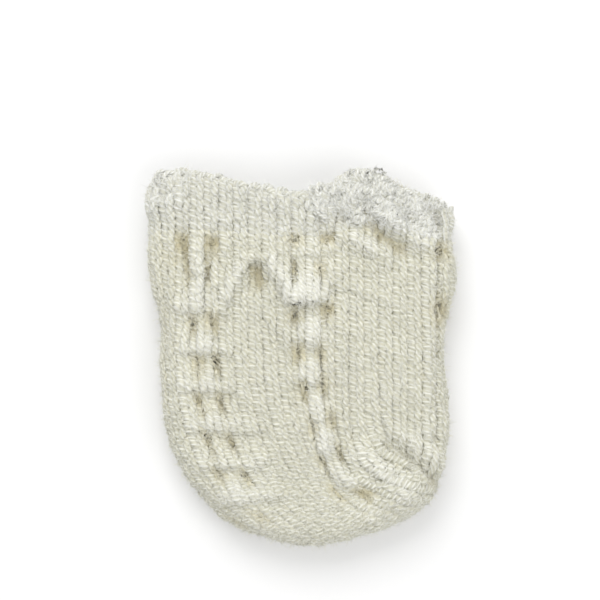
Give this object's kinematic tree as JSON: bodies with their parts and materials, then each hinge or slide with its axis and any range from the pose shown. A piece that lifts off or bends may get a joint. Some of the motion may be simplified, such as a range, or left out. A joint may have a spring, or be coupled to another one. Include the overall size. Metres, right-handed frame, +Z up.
{
  "type": "baby bootie",
  "caption": "Cream hand-knitted baby bootie lying flat on its side, with lace bands, a frilled picot cuff and a soft foot turned at the ankle.",
  "frame": {"origin": "centre of the bounding box in plan, on the surface that the bootie lies on", "axes": "+Y up the leg towards the mouth, +X towards the shin and the toe, +Z up through the two layers of knitting"},
  "size_m": [0.0772, 0.0968, 0.016],
  "materials": {
    "plain_knit": "matt cream wool stocking stitch",
    "lace_knit": "matt cream wool eyelet lace",
    "frill_knit": "matt cream wool rib and frill",
    "seam_yarn": "matt cream wool sewing yarn"
  },
  "bodies": {
    "leg": {"back_seam": "seam_yarn", "inner_back_lace": "lace_knit", "inner_back_panel": "plain_knit", "inner_leaf_lace": "lace_knit", "inner_leg_panel": "plain_knit", "inner_shin_panel": "plain_knit", "outer_back_lace": "lace_knit", "outer_back_panel": "plain_knit", "outer_leaf_lace": "lace_knit", "outer_leg_panel": "plain_knit", "outer_shin_panel": "plain_knit"},
    "cuff": {"cuff_seam": "seam_yarn", "inner_cuff_frill": "frill_knit", "inner_eyelet_band": "lace_knit", "inner_picot_edging": "frill_knit", "outer_cuff_frill": "frill_knit", "outer_eyelet_band": "lace_knit", "outer_picot_edging": "frill_knit"},
    "foot": {"inner_ankle_panel": "plain_knit", "inner_foot_leaf_lace": "lace_knit", "inner_heel": "plain_knit", "inner_heel_lace": "lace_knit", "inner_sole_panel": "plain_knit", "inner_toe": "plain_knit", "outer_ankle_panel": "plain_knit", "outer_foot_leaf_lace": "lace_knit", "outer_heel": "plain_knit", "outer_heel_lace": "lace_knit", "outer_sole_panel": "plain_knit", "outer_toe": "plain_knit", "sole_seam": "seam_yarn"}
  },
  "joints": [
    {"name": "cuff_fold", "type": "hinge", "parent": "leg", "child": "cuff", "pos_m": [0, 0.0206, 0.008], "axis": [1, 0, 0], "range_deg": [0, 50]},
    {"name": "ankle_flex", "type": "hinge", "parent": "leg", "child": "foot", "pos_m": [0.001, -0.0315, 0.008], "axis": [0, 0, 1], "range_deg": [-15, 15]}
  ]
}
